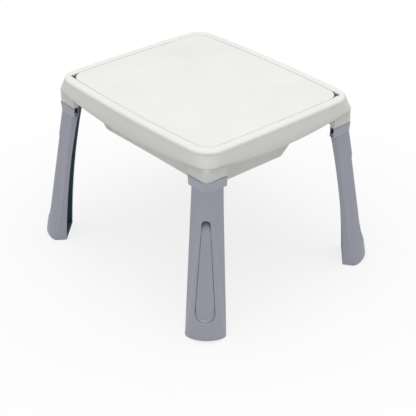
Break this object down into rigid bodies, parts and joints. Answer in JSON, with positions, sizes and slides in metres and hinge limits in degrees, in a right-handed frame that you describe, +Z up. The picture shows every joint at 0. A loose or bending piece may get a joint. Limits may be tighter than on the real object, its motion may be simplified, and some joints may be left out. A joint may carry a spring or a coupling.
{
  "type": "kids table with storage",
  "caption": "Low moulded plastic children's table with rounded top, splayed snap-in legs, a lift-off lid with finger slots and a stepped storage tub below it.",
  "frame": {"origin": "on the floor, below the middle of the table top", "axes": "+Z up, +X along the long side of the top, -Y towards the front"},
  "size_m": [0.6532, 0.5622, 0.44],
  "materials": {
    "cream_plastic": "satin moulded polypropylene, cream",
    "grey_plastic": "satin moulded polypropylene, blue-grey"
  },
  "bodies": {
    "table_frame": {"table_frame": "cream_plastic", "leg_front_left": "grey_plastic", "leg_front_right": "grey_plastic", "leg_back_left": "grey_plastic", "leg_back_right": "grey_plastic"},
    "storage_tub": {"storage_tub": "cream_plastic"},
    "lid": {"lid": "cream_plastic"}
  },
  "joints": [
    {"name": "tub_lift", "type": "slide", "parent": "table_frame", "child": "storage_tub", "axis": [0, 0, 1], "range_m": [0, 0.15]},
    {"name": "lid_lift", "type": "slide", "parent": "storage_tub", "child": "lid", "axis": [0, 0, 1], "range_m": [0, 0.12]}
  ]
}
